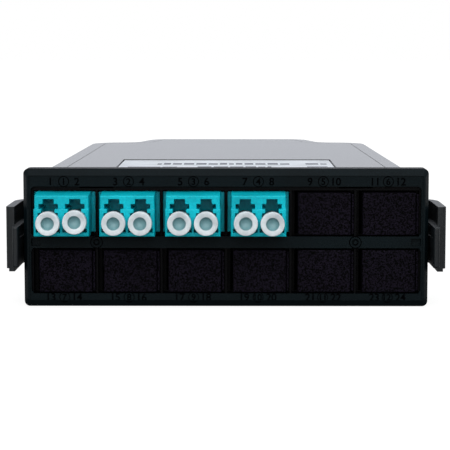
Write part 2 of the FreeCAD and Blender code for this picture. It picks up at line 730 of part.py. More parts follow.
def dust_cap(x):
    """Turned cap with a dished head, a neck and a hollow stem."""
    face = CAP_TIP
    back = face + CAP_HEAD_T
    seat = back + CAP_NECK_L
    head = rod(x, PORT_Z, CAP_HEAD_R, face, back)
    head = head.makeChamfer(CAP_HEAD_EDGE, [edge for edge in head.Edges if edge.Length > 3 * CAP_HEAD_R])
    dimple = taper(x, PORT_Z, CAP_DIMPLE_R, CAP_DIMPLE_FLOOR_R, face, face + CAP_DIMPLE_D)
    neck = taper(x, PORT_Z, CAP_NECK_R, CAP_STEM_R, back, seat)
    stem = rod(x, PORT_Z, CAP_STEM_R, seat, seat + CAP_STEM_L)
    bore = rod(x, PORT_Z, CAP_BORE_R, seat, seat + CAP_STEM_L)
    return join([head.cut(dimple), neck, stem]).cut(bore)


# ---- Blank plug ----------------------------------------------------------
def blank_plug(column, row_z):
    """Moulded shell that closes a window, with a side flange and snap barbs."""
    x = column_x(column) + BLANK_SHIFT_X
    z = row_z - BLANK_DROP
    y0 = BLANK_FRONT
    face = block(x, z, BLANK_W, BLANK_H, y0, y0 + BLANK_FACE_T)
    rims = [edge for edge in face.Edges if all(abs(point.Y - y0) < TOUCH for point in edge.Vertexes)]
    face = face.makeFillet(BLANK_EDGE, rims)
    inside = y0 + BLANK_FACE_T
    body = block(x, z, BLANK_W, BLANK_H, inside, y0 + BLANK_D)
    hollow = block(x, z, BLANK_W - 2 * BLANK_WALL, BLANK_H - 2 * BLANK_WALL, inside, y0 + BLANK_D)
    flange_y = y0 + BLANK_FLANGE_SETBACK
    edge_x = column_x(column) + WINDOW_W / 2 - HOLE_GAP
    half_h = BLANK_H / 2 - BLANK_EDGE
    flange = box(x, edge_x, flange_y, flange_y + BLANK_FLANGE_T, z - half_h, z + half_h)
    groove_x = x + BLANK_W / 2
    groove_end = flange_y + BLANK_FLANGE_T / 2
    groove = box(groove_x, groove_x + BLANK_GROOVE, y0, groove_end, z - BLANK_H, z + BLANK_H)
    barb_y = BEZEL_D + HOLE_GAP
    barb = block(x, z, BLANK_W / 2, BLANK_H + 2 * BARB_H, barb_y, barb_y + BARB_L)
    return join([face, body, flange.cut(groove), barb]).cut(hollow)


# ---- Inner plugs, fibres and fan-out -------------------------------------
def lc_plug(x):
    """Inner LC plug: square body, lever, ferrule and tapered boot."""
    y1 = PLUG_Y + PLUG_L
    body = block(x, PORT_Z, PLUG_W, PLUG_W, PLUG_Y, y1)
    bore = rod(x, PORT_Z, PLUG_BORE_R, PLUG_Y, PLUG_Y + PLUG_BORE_L)
    ferrule = rod(x, PORT_Z, FERRULE_R, ADAPTER_MID + FERRULE_TIP, PLUG_Y + PLUG_BORE_L + FERRULE_R)
    lever_z = PORT_Z + PLUG_W / 2
    lever_y = PLUG_Y + PLUG_BORE_L / 2
    lever = Part.Face(Part.makePolygon([
        Vec(x - LEVER_W / 2, lever_y, lever_z),
        Vec(x - LEVER_W / 2, lever_y + LEVER_L, lever_z),
        Vec(x - LEVER_W / 2, lever_y + LEVER_L, lever_z + 2 * LEVER_T),
        Vec(x - LEVER_W / 2, lever_y + LEVER_T, lever_z + LEVER_T),
        Vec(x - LEVER_W / 2, lever_y, lever_z),
    ])).extrude(Vec(LEVER_W, 0, 0))
    boot = taper(x, PORT_Z, BOOT_R, BOOT_TIP_R, y1, BOOT_END)
    return join([body.cut(bore), ferrule, lever, boot])


def fibre(x, lane):
    """Buffered fibre from a boot to its lane in the fan-out block, as an S bend."""
    end_x = MPO_X + (lane - (2 * LOADED_COLUMNS - 1) / 2) * FIBRE_PITCH
    start = Vec(x, BOOT_END, PORT_Z)
    bend = Vec(x, BOOT_END + FIBRE_LEAD, PORT_Z)
    settle = Vec(end_x, BLOCK_Y - FIBRE_LEAD, PORT_Z)
    end = Vec(end_x, BLOCK_Y, PORT_Z)
    shift = end_x - x
    run = settle.y - bend.y
    side = 1 if shift > 0 else -1
    radius = (run ** 2 + shift ** 2) / (4 * abs(shift))
    half_turn = math.asin(run / (2 * radius)) / 2
    reach = Vec(side * radius * (1 - math.cos(half_turn)), radius * math.sin(half_turn), 0)
    middle = (bend + settle) * 0.5
    path = Part.Wire([
        Part.LineSegment(start, bend).toShape(),
        Part.Arc(bend, bend + reach, middle).toShape(),
        Part.Arc(middle, settle - reach, settle).toShape(),
        Part.LineSegment(settle, end).toShape(),
    ])
    turns = [2 * math.pi * side / FIBRE_SIDES for side in range(FIBRE_SIDES + 1)]
    section = Part.makePolygon([start + Vec(math.cos(turn), 0, math.sin(turn)) * FIBRE_R for turn in turns])
    return path.makePipeShell([section], True, False)


def fan_out_block():
    """Potted block where eight fibres become one pigtail."""
    return rounded_block(MPO_X, PORT_Z, BLOCK_W, BLOCK_H, BLOCK_EDGE, BLOCK_Y, BLOCK_Y + BLOCK_L)


def mpo_pigtail():
    """Short round cable from the fan-out block to the MPO plug's boot."""
    return rod(MPO_X, PORT_Z, PIGTAIL_R, BLOCK_Y + BLOCK_L, MPO_BOOT_END)


def mpo_plug():
    """Inner MPO plug: nose, sliding sleeve and tapered boot."""
    nose_w = MPO_PORT_W - 2 * MPO_FIT
    nose_h = MPO_PORT_H - 2 * MPO_FIT
    sleeve_y = MPO_FRONT - MPO_SLEEVE_L
    nose = block(MPO_X, PORT_Z, nose_w, nose_h, MPO_FRONT, MPO_FRONT + MPO_PORT_DEPTH - MPO_FIT)
    sleeve_end = MPO_FRONT - MPO_FIT
    sleeve = rounded_block(MPO_X, PORT_Z, MPO_SLEEVE_W, MPO_SLEEVE_H, MPO_EDGE, sleeve_y, sleeve_end)
    core = block(MPO_X, PORT_Z, nose_w, nose_h, sleeve_y + MPO_SLEEVE_L / 2, MPO_FRONT)
    boot = taper(MPO_X, PORT_Z, MPO_BOOT_TIP_R, MPO_BOOT_R, MPO_BOOT_END, sleeve_y)
    return join([nose, core, sleeve, boot])


# ---- MPO adapter and cap -------------------------------------------------
def mpo_adapter():
    """Rear coupler with its flange, keyed ports and snap ridges."""
    rear = BUMP_Y + MPO_OUT
    body = rounded_block(MPO_X, PORT_Z, MPO_BODY_W, MPO_BODY_H, MPO_EDGE / 2, MPO_FRONT, rear)
    flange = rounded_block(
        MPO_X, PORT_Z, MPO_FLANGE_W, MPO_FLANGE_H, MPO_EDGE, BUMP_Y, BUMP_Y + MPO_FLANGE_T)
    clip_y = BUMP_Y - WALL - MPO_FIT
    clip = block(MPO_X, PORT_Z, MPO_BODY_W / 2, MPO_BODY_H + 2 * CLIP_H, clip_y - CLIP_L, clip_y)
    body = join([body, flange, clip])
    key_z = PORT_Z + MPO_PORT_H / 2
    for y0, y1 in ((MPO_FRONT, MPO_FRONT + MPO_PORT_DEPTH), (rear - MPO_PORT_DEPTH, rear)):
        body = body.cut(block(MPO_X, PORT_Z, MPO_PORT_W, MPO_PORT_H, y0, y1))
        body = body.cut(block(MPO_X, key_z, MPO_KEY_W, 2 * MPO_KEY_H, y0, y1))
    return body


def mpo_dust_cap():
    """Cap of the rear port: rounded grip and a stem that fills the port."""
    seat = BUMP_Y + MPO_OUT
    tip = seat + MPO_CAP_HEAD_T
    grip = rounded_block(MPO_X, PORT_Z, MPO_CAP_HEAD_W, MPO_CAP_HEAD_H, MPO_CAP_EDGE, seat, tip)
    stem_w = MPO_PORT_W - 2 * MPO_FIT
    stem_h = MPO_PORT_H - 2 * MPO_FIT
    stem = block(MPO_X, PORT_Z, stem_w, stem_h, seat - MPO_CAP_STEM_L, seat)
    hollow = block(MPO_X, PORT_Z, stem_w - 2 * WALL, stem_h - WALL, seat - MPO_CAP_STEM_L, seat - WALL)
    return join([grip, stem]).cut(hollow)


# ---- Side latches --------------------------------------------------------
def latch_arm():
    """Right-hand arm: finger plate, bend and root leg, drawn in plan."""
    inner = LATCH_OUT - LATCH_T
    bend_x = LATCH_OUT - LATCH_BEND_R
    bend_in = LATCH_BEND_R - LATCH_T
    y_root = LATCH_BEND_Y + LATCH_BEND_R
    root_x = BAY_W / 2 - BAY_WALL - ROOT_GAP - BARB_FOOT_T
    turn = math.sqrt(0.5)
    z = LATCH_BOTTOM
    outline = Part.Wire([
        Part.LineSegment(Vec(inner, 0, z), Vec(LATCH_OUT - LATCH_CORNER, 0, z)).toShape(),
        Part.LineSegment(Vec(LATCH_OUT - LATCH_CORNER, 0, z), Vec(LATCH_OUT, LATCH_CORNER, z)).toShape(),
        Part.LineSegment(Vec(LATCH_OUT, LATCH_CORNER, z), Vec(LATCH_OUT, LATCH_BEND_Y, z)).toShape(),
        Part.Arc(
            Vec(LATCH_OUT, LATCH_BEND_Y, z),
            Vec(bend_x + LATCH_BEND_R * turn, LATCH_BEND_Y + LATCH_BEND_R * turn, z),
            Vec(bend_x, y_root, z)).toShape(),
        Part.LineSegment(Vec(bend_x, y_root, z), Vec(root_x, y_root, z)).toShape(),
        Part.LineSegment(Vec(root_x, y_root, z), Vec(root_x, y_root - LATCH_T, z)).toShape(),
        Part.LineSegment(Vec(root_x, y_root - LATCH_T, z), Vec(bend_x, y_root - LATCH_T, z)).toShape(),
        Part.Arc(
            Vec(bend_x, y_root - LATCH_T, z),
            Vec(bend_x + bend_in * turn, LATCH_BEND_Y + bend_in * turn, z),
            Vec(inner, LATCH_BEND_Y, z)).toShape(),
        Part.LineSegment(Vec(inner, LATCH_BEND_Y, z), Vec(inner, 0, z)).toShape(),
    ])
    return Part.Face(outline).extrude(Vec(0, 0, LATCH_TOP - LATCH_BOTTOM))


def thumb_pad():
    """Thick pad inside the plate that stands out in front, with its front edges rounded."""
    inner = LATCH_OUT - LATCH_T
    pad = box(inner - PAD_T, inner, -PAD_OUT, LATCH_BEND_Y, PAD_BOTTOM, PAD_TOP)
    front = [edge for edge in pad.Edges if all(abs(point.Y + PAD_OUT) < TOUCH for point in edge.Vertexes)]
    pad = pad.makeFillet(PAD_EDGE, front)
    root = box(inner, inner + HEEL_D, 0, LATCH_BEND_Y, PAD_BOTTOM, PAD_TOP)
    return pad.fuse(root)


def stop_finger():
    """Finger behind the bezel and the rib that leads to it along the pad."""
    face = LATCH_OUT - LATCH_T - PAD_T
    rise = FINGER_TOP - FINGER_BOTTOM
    end = FINGER_START + FINGER_L
    finger = box(face - FINGER_REACH, face, FINGER_START, end, FINGER_BOTTOM, FINGER_TOP)
    rib = Part.Face(Part.makePolygon([
        Vec(face, PAD_EDGE - PAD_OUT, FINGER_BOTTOM),
        Vec(face, FINGER_START, FINGER_BOTTOM),
        Vec(face - GUSSET_D, FINGER_START, FINGER_BOTTOM),
        Vec(face, PAD_EDGE - PAD_OUT, FINGER_BOTTOM),
    ])).extrude(Vec(0, 0, rise))
    return finger.fuse(rib)


def latch():
    """Right-hand latch: arm, thumb pad, stop finger, retaining pocket, heel and barbed foot."""
    pocket_y = HOOK_START + HOOK_L
    pocket = box(LATCH_OUT - HOOK_D, LATCH_OUT, HOOK_START, pocket_y, HOOK_BOTTOM, HOOK_TOP)
    heel = box(LATCH_OUT - HEEL_D, LATCH_OUT, 0, LATCH_BEND_Y, LATCH_BOTTOM, LATCH_BOTTOM + HEEL_H)
    foot_x = BAY_W / 2 - BAY_WALL - ROOT_GAP
    foot_y = LATCH_BEND_Y + LATCH_BEND_R - (LATCH_T + BARB_FOOT_L) / 2
    foot = box(foot_x - BARB_FOOT_T, foot_x, foot_y, foot_y + BARB_FOOT_L, LATCH_BOTTOM, LATCH_TOP)
    trim = box(0, BAY_W / 2 + ROOT_GAP, 0, LATCH_OUT, LEG_TOP, LATCH_TOP)
    arm = latch_arm().cut(trim)
    return join([arm, thumb_pad(), stop_finger(), foot.cut(trim)]).cut(pocket).cut(heel)


# ---- The whole -----------------------------------------------------------
def nodes():
    """Every piece of the cassette by name."""
    pieces = {
        "front_bezel": front_bezel(),
        "bezel_pins": bezel_pins(),
        "base_tray": base_tray(),
        "top_cover": top_cover(),
        "label": label(),
        "cover_screws": cover_screws(),
        "fan_out_block": fan_out_block(),
        "mpo_pigtail": mpo_pigtail(),
        "mpo_plug": mpo_plug(),
        "mpo_adapter": mpo_adapter(),
        "mpo_dust_cap": mpo_dust_cap(),
        "latch_right": latch(),
        "latch_left": mirrored(latch()),
    }
    port = 0
    for column in range(LOADED_COLUMNS):
        pieces[f"lc_adapter_{column + 1}"] = lc_adapter(column)
        pieces[f"alignment_sleeves_{column + 1}"] = alignment_sleeves(column)
        for x in port_xs(column):
            port += 1
            pieces[f"dust_cap_{port}"] = dust_cap(x)
            pieces[f"lc_plug_{port}"] = lc_plug(x)
            pieces[f"fibre_{port}"] = fibre(x, port - 1)
    for column in range(LOADED_COLUMNS, COLUMNS):
        pieces[f"blank_plug_{column + 1}"] = blank_plug(column, UPPER_ROW_Z)
    for column in range(COLUMNS):
        pieces[f"blank_plug_{COLUMNS + column + 1}"] = blank_plug(column, LOWER_ROW_Z)
    return pieces


def main():
    """Write one STEP file for each piece."""
    os.makedirs("parts", exist_ok=True)
    for name, shape in nodes().items():
        shape.translate(Vec(0, ORIGIN_SHIFT, 0))
        shape.exportStep(f"parts/{name}.step")


main()
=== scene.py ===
"""Dresses the packed fibre cassette: moulded finishes, soft edges, dust caps, port numbers and label bars."""
import json
import logging
import math
from collections.abc import Callable
from dataclasses import dataclass, field
from enum import Enum

import bpy
from mathutils import Matrix, Vector

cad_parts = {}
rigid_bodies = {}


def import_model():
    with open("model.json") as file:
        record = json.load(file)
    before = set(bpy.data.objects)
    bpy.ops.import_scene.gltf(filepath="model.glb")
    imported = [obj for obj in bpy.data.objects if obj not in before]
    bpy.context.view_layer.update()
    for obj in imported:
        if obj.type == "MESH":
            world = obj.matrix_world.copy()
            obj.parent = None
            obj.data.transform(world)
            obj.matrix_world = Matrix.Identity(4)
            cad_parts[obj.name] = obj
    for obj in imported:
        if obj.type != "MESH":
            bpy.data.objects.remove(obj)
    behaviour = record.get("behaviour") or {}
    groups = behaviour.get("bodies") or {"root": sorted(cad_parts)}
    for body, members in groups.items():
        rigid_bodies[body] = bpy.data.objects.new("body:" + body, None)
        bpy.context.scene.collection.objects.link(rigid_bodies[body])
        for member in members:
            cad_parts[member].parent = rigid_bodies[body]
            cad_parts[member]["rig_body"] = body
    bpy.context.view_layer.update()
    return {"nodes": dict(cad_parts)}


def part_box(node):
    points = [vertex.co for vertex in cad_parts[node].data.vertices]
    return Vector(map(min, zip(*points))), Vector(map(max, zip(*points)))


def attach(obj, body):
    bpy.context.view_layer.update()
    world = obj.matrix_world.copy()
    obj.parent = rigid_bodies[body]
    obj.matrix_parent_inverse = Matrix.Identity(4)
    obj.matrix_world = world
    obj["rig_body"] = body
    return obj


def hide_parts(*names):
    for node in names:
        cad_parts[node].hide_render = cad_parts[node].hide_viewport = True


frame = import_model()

log = logging.getLogger("cassette")
Point = tuple[float, float, float]
LinearColour = tuple[float, float, float]
DisplayColour = tuple[int, int, int]
Socket = bpy.types.NodeSocket

MM = 0.001                    # a millimetre in metres
HOUSING = "housing"           # the body that carries the numbers, the rings and the label's bars
# painted light: the attribute picks walls that get painted shade deep in the bezel's windows, or a painted
# see-through tint on the caps' thin walls
PAINTED_WALLS = "painted_light_walls"       # the attribute that is 1 on walls with their finish's second colour
NOISE_MIDDLE = 0.5            # a noise pattern's average
NOISE_RANGE = (0.3, 0.7)      # the range that most of a noise pattern keeps to
WHITE = (1, 1, 1, 1)
TOUCH = 0.001 * MM            # places nearer than this are the same
FACING = 0.99                 # a face looks along an axis when its normal's share of it is above this
WELD = 0.002 * MM             # points nearer than this are merged
COPLANAR = math.radians(1)    # faces that meet at less than this become one
SHARP = math.radians(30)      # edges above this angle are rounded
SMOOTH = math.radians(40)     # edges below this angle are shaded smooth
LARGEST_FACES = 100           # the weight at which shading follows the largest faces


class Slot(Enum):
    """The material slots of the record."""

    BEZEL = "bezel_plastic"
    HOUSING = "housing_plastic"
    LATCH = "latch_plastic"
    BLANK = "blank_plastic"
    ADAPTER = "adapter_aqua"
    CAP = "cap_white"
    LABEL = "label_film"
    SCREW = "screw_steel"
    PORT = "port_black"
    REAR_CAP = "rear_cap_black"
    PLUG_BEIGE = "plug_beige"
    PLUG_AQUA = "plug_aqua"
    CABLE = "cable_aqua"
    FIBRE = "fibre_aqua"
    CERAMIC = "sleeve_ceramic"
    BLOCK = "block_grey"


# ---------------------------------------------------------------- shader nodes


def linear(colour: DisplayColour) -> LinearColour:
    """Turns a display colour into the linear values that shaders take.

    Args:
        colour: display values from 0 to 255.

    Returns:
        The linear colour.
    """
    def one(value: int) -> float:
        """Linear value of one channel, by the sRGB curve."""
        share = value / 255
        return share / 12.92 if share <= 0.04045 else ((share + 0.055) / 1.055) ** 2.4
    red, green, blue = colour
    return one(red), one(green), one(blue)


def ranged(tree: bpy.types.NodeTree, value: Socket, source: tuple[float, float],
           target: tuple[float, float]) -> Socket:
    """Maps a value from one range to another and keeps it inside.

    Args:
        tree: the node tree to add to.
        value: what goes in.
        source: the range that goes in.
        target: the range that comes out.

    Returns:
        The mapped value.
    """
    node = tree.nodes.new("ShaderNodeMapRange")
    for socket, number in zip(("From Min", "From Max", "To Min", "To Max"), (*source, *target)):
        node.inputs[socket].default_value = number
    tree.links.new(value, node.inputs["Value"])
    return node.outputs["Result"]


def worked_out(tree: bpy.types.NodeTree, operation: str, first: Socket, second: Socket) -> Socket:
    """Works out one value from two.

    Args:
        tree: the node tree to add to.
        operation: the sum, such as MULTIPLY.
        first, second: the two values.

    Returns:
        The result.
    """
    node = tree.nodes.new("ShaderNodeMath")
    node.operation = operation
    tree.links.new(first, node.inputs[0])
    tree.links.new(second, node.inputs[1])
    return node.outputs["Value"]


class Paintbox:
    """A material's node tree, with short methods for the nodes that the finishes share.

    Attributes:
        material: the material.
        tree: its node tree.
        shader: its Principled shader.
        millimetres: the node that gives object coordinates in millimetres.
    """

    def __init__(self, name: str) -> None:
        """Makes the material with a lone Principled shader and its coordinates.

        Args:
            name: the material's name.
        """
        self.material = bpy.data.materials.new(name)
        self.material.use_nodes = True
        self.tree = self.material.node_tree
        self.shader = self.tree.nodes["Principled BSDF"]
        where = self.tree.nodes.new("ShaderNodeTexCoord")
        self.millimetres = self.tree.nodes.new("ShaderNodeMapping")
        self.millimetres.inputs["Scale"].default_value = (1 / MM,) * 3
        self.link(where.outputs["Object"], self.millimetres.inputs["Vector"])

    def link(self, source: Socket, target: Socket) -> None:
        """Joins two sockets."""
        self.tree.links.new(source, target)

    def noise(self, size: float, detail: float = 2.0, rough: float = 0.5,
              stretch: Point = (1, 1, 1)) -> Socket:
        """Adds a noise pattern.

        Args:
            size: the width of one blotch in millimetres.
            detail: octaves of finer noise.
            rough: how strong the finer octaves are.
            stretch: how much finer the pattern is along each axis.

        Returns:
            The pattern's value, about 0.5 on average.
        """
        squeeze = self.tree.nodes.new("ShaderNodeMapping")
        squeeze.inputs["Scale"].default_value = stretch
        self.link(self.millimetres.outputs["Vector"], squeeze.inputs["Vector"])
        node = self.tree.nodes.new("ShaderNodeTexNoise")
        node.inputs["Scale"].default_value = 1 / size
        node.inputs["Detail"].default_value = detail
        node.inputs["Roughness"].default_value = rough
        self.link(squeeze.outputs["Vector"], node.inputs["Vector"])
        return node.outputs["Fac"]

    def remap(self, pattern: Socket, low: float, high: float,
              source: tuple[float, float] = NOISE_RANGE) -> Socket:
        """Stretches a pattern's middle range to low and high.

        Args:
            pattern: the pattern.
            low, high: the range that comes out.
            source: the range that goes in.

        Returns:
            The stretched value.
        """
        return ranged(self.tree, pattern, source, (low, high))

    def blend(self, dark: LinearColour | Socket, light: LinearColour, value: Socket) -> Socket:
        """Mixes two colours by a pattern.

        Args:
            dark: the colour where the pattern is 0.
            light: the colour where it is 1.
            value: the pattern.

        Returns:
            The mixed colour.
        """
        node = self.tree.nodes.new("ShaderNodeMix")
        node.data_type = "RGBA"
        if isinstance(dark, Socket):
            self.link(dark, node.inputs["A"])
        else:
            node.inputs["A"].default_value = (*dark, 1)
        node.inputs["B"].default_value = (*light, 1)
        self.link(value, node.inputs["Factor"])
        return node.outputs["Result"]

    def relief(self, layers: list[tuple[Socket, float]]) -> None:
        """Stacks bump layers on the shader's normal.

        Args:
            layers: pairs of a pattern and its height in millimetres.
        """
        previous = None
        for pattern, height in layers:
            node = self.tree.nodes.new("ShaderNodeBump")
            node.inputs["Strength"].default_value = 1.0
            node.inputs["Distance"].default_value = height * MM
            self.link(pattern, node.inputs["Height"])
            if previous is not None:
                self.link(previous, node.inputs["Normal"])
            previous = node.outputs["Normal"]
        self.link(previous, self.shader.inputs["Normal"])


# ---------------------------------------------------------------- finishes


@dataclass(frozen=True)
class MouldedFinish:
    """A moulded plastic: colour that wanders with the flow, spark-eroded grain, and gloss that follows it.

    Attributes:
        slot: the record's slot that it dresses.
        hollow: display colour in the grain's hollows.
        crest: display colour on its crests.
        grain: width of a grain in millimetres.
        bite: half the range of the pattern that takes the colour from hollow to crest; small is crisp.
        depth: height of the grain in millimetres.
        flow: width of the broad colour drift in millimetres.
        drift: how far the drift takes the colour up and down.
        swell: height of the drift against the grain's.
        gloss: roughness on crests and in hollows.
        sheen_level: specular level, 0.5 for plain plastic.
        translucency: subsurface weight.
        scatter: how far light spreads below the surface, in millimetres.
        marked: display colour painted on the walls that the attribute picks: painted shade on walls deep in a
            recess, or a painted see-through tint on thin walls where what lies behind would show through.
    """

    slot: Slot
    hollow: DisplayColour
    crest: DisplayColour
    grain: float = 0.25
    bite: float = 0.18
    depth: float = 0.008
    flow: float = 9.0
    drift: float = 0.14
    swell: float = 1.5
    gloss: tuple[float, float] = (0.38, 0.55)
    sheen_level: float = 0.5
    translucency: float = 0.0
    scatter: float = 0.6
    marked: DisplayColour | None = None

    def make(self) -> bpy.types.Material:
        """Builds the finish's nodes.

        Returns:
            The material.
        """
        box = Paintbox(f"{self.slot.value}_finish")
        grain = box.noise(self.grain, detail=3.0, rough=0.6)
        flow = box.noise(self.flow)
        crests = box.remap(grain, 0, 1, (NOISE_MIDDLE - self.bite, NOISE_MIDDLE + self.bite))
        drift = box.tree.nodes.new("ShaderNodeHueSaturation")
        box.link(box.blend(linear(self.hollow), linear(self.crest), crests), drift.inputs["Color"])
        box.link(box.remap(flow, 1 - self.drift, 1 + self.drift), drift.inputs["Value"])
        paint = drift.outputs["Color"]
        # the walls that the attribute picks get the painted light colour blended over the moulded one
        if self.marked is not None:
            wall = box.tree.nodes.new("ShaderNodeAttribute")
            wall.attribute_name = PAINTED_WALLS
            paint = box.blend(paint, linear(self.marked), wall.outputs["Fac"])
        box.link(paint, box.shader.inputs["Base Color"])
        box.link(box.remap(grain, self.gloss[1], self.gloss[0]), box.shader.inputs["Roughness"])
        box.shader.inputs["Specular IOR Level"].default_value = self.sheen_level
        box.shader.inputs["Subsurface Weight"].default_value = self.translucency
        box.shader.inputs["Subsurface Radius"].default_value = (1.0, 1.0, 1.0)
        box.shader.inputs["Subsurface Scale"].default_value = self.scatter * MM
        box.relief([(flow, self.depth * self.swell), (grain, self.depth)])
        return box.material


@dataclass(frozen=True)
class MetalFinish:
    """Plated steel with fine turning marks.

    Attributes:
        slot: the record's slot that it dresses.
        hollow, crest: display colours of the worn and the bright plating.
        gloss: lowest and highest roughness.
        marks: width of a turning mark in millimetres.
        squeeze: how much finer the marks are along each axis.
        stain: width of a worn patch in millimetres.
        depth: depth of the marks in millimetres.
    """

    slot: Slot
    hollow: DisplayColour
    crest: DisplayColour
    gloss: tuple[float, float] = (0.25, 0.45)
    marks: float = 0.15
    squeeze: Point = (1, 1, 6)
    stain: float = 2.5
    depth: float = 0.003

    def make(self) -> bpy.types.Material:
        """Builds the finish's nodes.

        Returns:
            The material.
        """
        box = Paintbox(f"{self.slot.value}_finish")
        marks = box.noise(self.marks, stretch=self.squeeze)
        stain = box.noise(self.stain, detail=3.0)
        colour = box.blend(linear(self.hollow), linear(self.crest), box.remap(stain, 0, 1))
        box.link(colour, box.shader.inputs["Base Color"])
        box.link(box.remap(marks, *self.gloss), box.shader.inputs["Roughness"])
        box.shader.inputs["Metallic"].default_value = 1.0
        box.relief([(marks, self.depth)])
        return box.material


@dataclass(frozen=True)
class InkFinish:
    """Thin print, or moulded lettering in near-black painted shade, with a slightly uneven edge of gloss.

    Attributes:
        name: the finish's name.
        hollow, crest: display colours of thin and full ink, and of painted shade.
        gloss: lowest and highest roughness.
        sheen_level: specular level.
        speck: width of a speck in millimetres.
        depth: height of the specks in millimetres.
    """

    name: str
    hollow: DisplayColour
    crest: DisplayColour
    gloss: tuple[float, float]
    sheen_level: float = 0.4
    speck: float = 0.12
    depth: float = 0.003

    def make(self) -> bpy.types.Material:
        """Builds the finish's nodes.

        Returns:
            The material.
        """
        box = Paintbox(self.name)
        speck = box.noise(self.speck)
        colour = box.blend(linear(self.hollow), linear(self.crest), box.remap(speck, 0, 1))
        box.link(colour, box.shader.inputs["Base Color"])
        box.link(box.remap(speck, *self.gloss), box.shader.inputs["Roughness"])
        box.shader.inputs["Specular IOR Level"].default_value = self.sheen_level
        box.relief([(speck, self.depth)])
        return box.material


FINISHES = (
    # the bezel's walls deep in its windows take a near-black painted shade
    MouldedFinish(Slot.BEZEL, (2, 9, 12), (11, 22, 26), grain=0.22, depth=0.012, gloss=(0.38, 0.56),
                  sheen_level=0.07, marked=(1, 1, 3)),
    MouldedFinish(Slot.HOUSING, (10, 12, 15), (18, 20, 24), grain=0.35, depth=0.001, gloss=(0.17, 0.23),
                  sheen_level=0.6),
    MouldedFinish(Slot.LATCH, (9, 14, 17), (24, 29, 33), gloss=(0.34, 0.50), sheen_level=0.3),
    MouldedFinish(Slot.BLANK, (0, 0, 0), (20, 16, 27), grain=0.38, bite=0.07, depth=0.06, gloss=(0.60, 0.85),
                  sheen_level=0.05),
    MouldedFinish(Slot.ADAPTER, (0, 170, 187), (0, 191, 206), grain=0.5, depth=0.006, gloss=(0.28, 0.38),
                  sheen_level=0.15),
    # the caps' hollows, necks and stems take a painted teal tint and shade of the port that shows through
    # them
    MouldedFinish(Slot.CAP, (208, 217, 222), (220, 228, 232), grain=1.2, depth=0.003, gloss=(0.34, 0.44),
                  translucency=0.35, flow=3.0, marked=(124, 165, 171)),
    MouldedFinish(Slot.LABEL, (214, 220, 228), (226, 231, 238), grain=0.4, depth=0.001, gloss=(0.42, 0.50),
                  sheen_level=0.4),
    MetalFinish(Slot.SCREW, (120, 122, 124), (190, 192, 194)),
    MouldedFinish(Slot.PORT, (12, 13, 14), (22, 23, 25), grain=0.3, gloss=(0.34, 0.46)),
    MouldedFinish(Slot.REAR_CAP, (18, 19, 20), (34, 35, 37), grain=0.4, gloss=(0.40, 0.55)),
    MouldedFinish(Slot.PLUG_BEIGE, (196, 184, 152), (214, 203, 174), grain=0.4, gloss=(0.34, 0.44)),
    MouldedFinish(Slot.PLUG_AQUA, (0, 160, 178), (6, 180, 196), grain=0.4, gloss=(0.34, 0.44)),
    MouldedFinish(Slot.CABLE, (0, 150, 166), (4, 170, 186), grain=0.6, gloss=(0.42, 0.52)),
    MouldedFinish(Slot.FIBRE, (0, 158, 174), (10, 186, 198), grain=0.3, gloss=(0.38, 0.46)),
    MouldedFinish(Slot.CERAMIC, (232, 230, 224), (244, 242, 237), grain=0.4, depth=0.001, gloss=(0.12, 0.2)),
    MouldedFinish(Slot.BLOCK, (92, 95, 98), (112, 115, 118), grain=0.4, gloss=(0.44, 0.56)),
)
# near-black painted shade: it stands in for the shade in the engraved port numbers and in the gaps round the
# pin heads
PAINTED_GROOVE_SHADE = InkFinish("painted_groove_shade", (0, 0, 1), (1, 2, 3), gloss=(0.6, 0.8), sheen_level=0.02)
LABEL_INK = InkFinish("label_ink", (96, 100, 110), (124, 128, 138), gloss=(0.6, 0.7))


# ---------------------------------------------------------------- mesh tools


def deselect() -> None:
    """Deselects every object, so that operators act on new pieces only."""
    bpy.ops.object.select_all(action="DESELECT")


def hold(*pieces: bpy.types.Object) -> None:
    """Selects these pieces alone and makes the first one active.

    Args:
        pieces: the pieces.
    """
    deselect()
    for piece in pieces:
        piece.select_set(True)
    bpy.context.view_layer.objects.active = pieces[0]


def settle(piece: bpy.types.Object, name: str) -> bpy.types.Object:
    """Names a piece and puts its place in its mesh, with its object at the origin.

    Args:
        piece: the piece.
        name: its name.

    Returns:
        The piece.
    """
    hold(piece)
    bpy.ops.object.transform_apply(location=True, rotation=True, scale=True)
    piece.name = name
    piece.data.name = name
    return piece


def new_block(name: str, low: Vector, high: Vector) -> bpy.types.Object:
    """Adds a block between two corners.

    Args:
        name: the piece's name.
        low, high: its lowest and highest corners.

    Returns:
        The block, at the origin with its place in its mesh.
    """
    deselect()
    bpy.ops.mesh.primitive_cube_add(size=1, location=(low + high) / 2)
    block = bpy.context.active_object
    block.scale = high - low
    return settle(block, name)


def new_round(name: str, radius: float, front: Vector, length: float, sides: int) -> bpy.types.Object:
    """Adds a cylinder along +Y.

    Args:
        name: the piece's name.
        radius: its radius.
        front: the middle of its front end.
        length: its length.
        sides: how many sides it has.

    Returns:
        The cylinder, at the origin with its place in its mesh.
    """
    deselect()
    middle = front + Vector((0, length / 2, 0))
    bpy.ops.mesh.primitive_cylinder_add(vertices=sides, radius=radius, depth=length, location=middle,
                                        rotation=(math.pi / 2, 0, 0))
    return settle(bpy.context.active_object, name)


def new_ring(middle: Vector, radius: float, line: float, rise: float, sides: int = 40) -> bpy.types.Object:
    """Adds a flat ring that faces -Y, cut from a disc.

    Args:
        middle: its middle.
        radius: the radius of its line.
        line: the width of its line.
        rise: half its thickness.
        sides: how many sides it has.

    Returns:
        The ring.
    """
    disc = new_round("ring", radius + line / 2, middle - Vector((0, rise, 0)), 2 * rise, sides)
    pick_faces(disc, lambda face: abs(face.normal.y) > FACING)
    bpy.ops.mesh.inset(thickness=line, depth=0)
    bpy.ops.mesh.bridge_edge_loops()
    leave_edit()
    return disc


